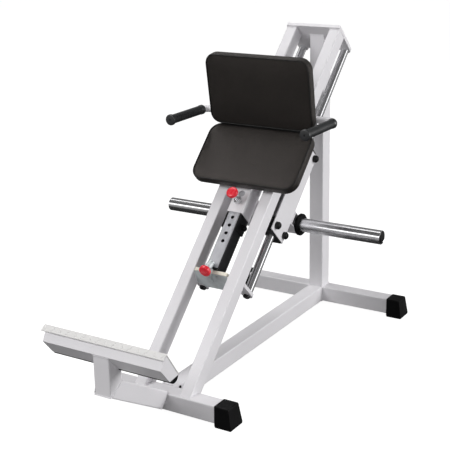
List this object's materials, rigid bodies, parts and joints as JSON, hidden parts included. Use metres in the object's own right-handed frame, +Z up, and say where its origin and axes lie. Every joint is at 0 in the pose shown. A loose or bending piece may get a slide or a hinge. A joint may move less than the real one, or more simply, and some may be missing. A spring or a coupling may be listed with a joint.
{
  "type": "plate-loaded seated leg sled",
  "caption": "Inclined gym sled with a padded seat and back that run up two guide rods on plate sleeves, above a narrow tilted footplate on a floor frame.",
  "frame": {"origin": "centre of the bounding box in plan, on the floor", "axes": "+X to the user's left as they sit facing the footplate, +Y from the footplate to the mast, +Z up"},
  "size_m": [0.883, 1.4706, 1.1241],
  "materials": {
    "white_paint": "satin powder coat",
    "chrome": "polished",
    "zinc": "zinc plated, satin",
    "plain_steel": "plain turned steel",
    "rubber": "matt moulded rubber",
    "black_plastic": "satin moulding",
    "leatherette": "fine-grained leatherette over foam",
    "board": "plywood behind black lining",
    "red_knob": "glossy moulding",
    "tread_plate": "raised checker pattern, painted",
    "nylon": "cream block"
  },
  "bodies": {
    "frame": {"front_crossbar": "white_paint", "rear_crossbar": "white_paint", "base_rail": "white_paint", "mast": "white_paint", "foot_front_left": "rubber", "foot_front_right": "rubber", "foot_rear_left": "rubber", "foot_rear_right": "rubber", "rail_left": "white_paint", "rail_right": "white_paint", "guide_rod_left": "chrome", "guide_rod_right": "chrome", "rod_lug_left": "white_paint", "rod_lug_right": "white_paint", "rod_nut_left": "black_plastic", "rod_nut_right": "black_plastic", "top_plate": "white_paint", "footplate_arm": "white_paint", "footplate_post": "white_paint", "footplate_support": "white_paint", "footplate_tread": "tread_plate", "footplate_edge_strip": "rubber", "arm_gusset": "white_paint", "stop_block": "plain_steel", "stop_pad": "nylon", "pin_barrel": "plain_steel", "pin_bracket": "plain_steel"},
    "carriage": {"spine": "white_paint", "stop_glide": "black_plastic", "glide_screw": "black_plastic", "cross_tube_lower": "white_paint", "cross_tube_upper": "white_paint", "runner_left": "white_paint", "runner_right": "white_paint", "bearing_lower_left": "black_plastic", "bearing_lower_right": "black_plastic", "bearing_upper_left": "black_plastic", "bearing_upper_right": "black_plastic", "sleeve_crossbar": "white_paint", "sleeve_left": "chrome", "sleeve_right": "chrome", "sleeve_collar_left": "rubber", "sleeve_collar_right": "rubber", "sleeve_plug_left": "black_plastic", "sleeve_plug_right": "black_plastic", "seat_board": "board", "seat_pad": "leatherette", "back_pad": "leatherette", "back_board": "board", "back_upright": "white_paint", "handle_bar": "white_paint", "grip_left": "rubber", "grip_right": "rubber", "upper_nut": "chrome"},
    "stop_tube": {"stop_tube": "zinc", "stop_foot": "black_plastic"},
    "upper_pin": {"upper_pin": "chrome", "upper_knob": "red_knob"},
    "lower_pin": {"lower_pin": "chrome", "lower_knob": "red_knob"}
  },
  "joints": [
    {"name": "carriage_slide", "type": "slide", "parent": "frame", "child": "carriage", "axis": [0, 0.7124, 0.7018], "range_m": [0, 0.4]},
    {"name": "stop_tube_slide", "type": "slide", "parent": "carriage", "child": "stop_tube", "axis": [0, 0.7124, 0.7018], "range_m": [0, 0.156]},
    {"name": "upper_pin_pull", "type": "slide", "parent": "carriage", "child": "upper_pin", "axis": [0, -0.7018, 0.7124], "range_m": [0, 0.012], "stiffness_N_per_m": 500, "springref_m": -0.01},
    {"name": "lower_pin_pull", "type": "slide", "parent": "frame", "child": "lower_pin", "axis": [0, -0.9304, -0.3665], "range_m": [0, 0.012], "stiffness_N_per_m": 500, "springref_m": -0.01}
  ]
}
